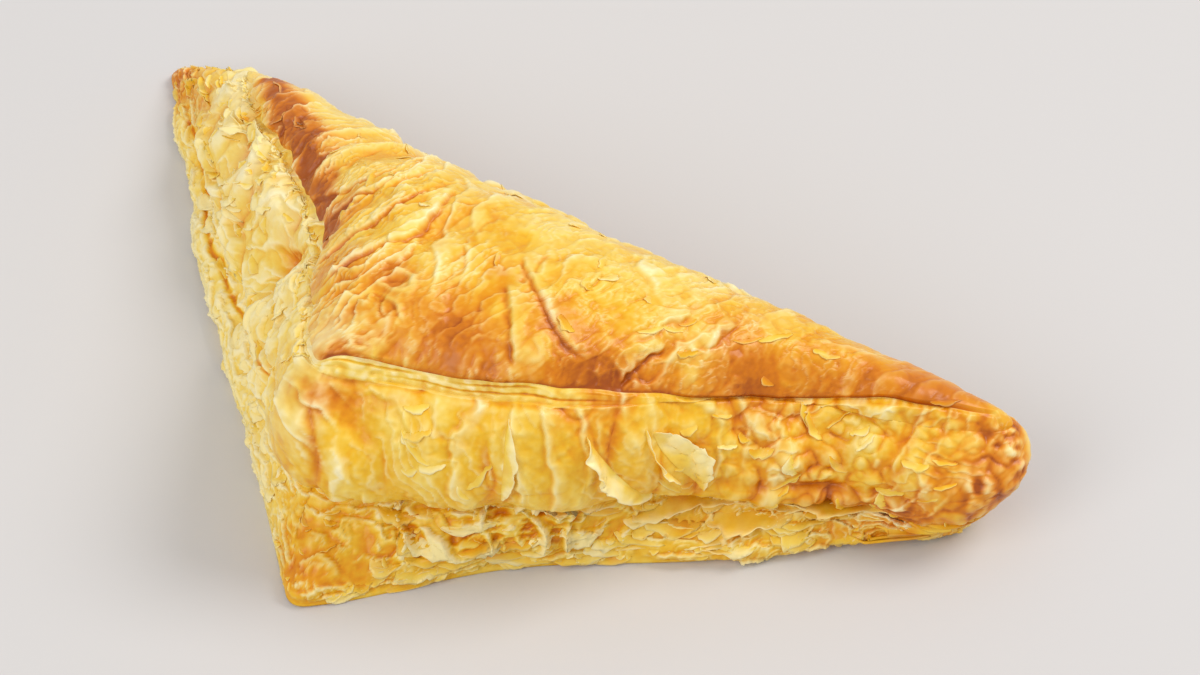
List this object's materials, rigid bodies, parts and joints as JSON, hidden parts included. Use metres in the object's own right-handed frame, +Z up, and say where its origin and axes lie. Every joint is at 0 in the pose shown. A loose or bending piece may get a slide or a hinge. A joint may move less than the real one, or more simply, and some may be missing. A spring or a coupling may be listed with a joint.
{
  "type": "turnover pastry",
  "caption": "Baked triangular puff pastry turnover with a domed browned top, puffed flaky walls and a flat underside to rest on.",
  "frame": {"origin": "middle of the footprint's bounding box, on the surface that the underside rests on", "axes": "+X along the folded side towards the blunt tip, -Y towards the right-angled front corner, +Z up"},
  "size_m": [0.1662, 0.0818, 0.042],
  "materials": {
    "baked_pastry": "golden baked puff pastry, browned where it stands highest, pale cream in its folds, with a light egg-wash gloss"
  },
  "bodies": {
    "root": {"turnover": "baked_pastry"}
  },
  "joints": []
}
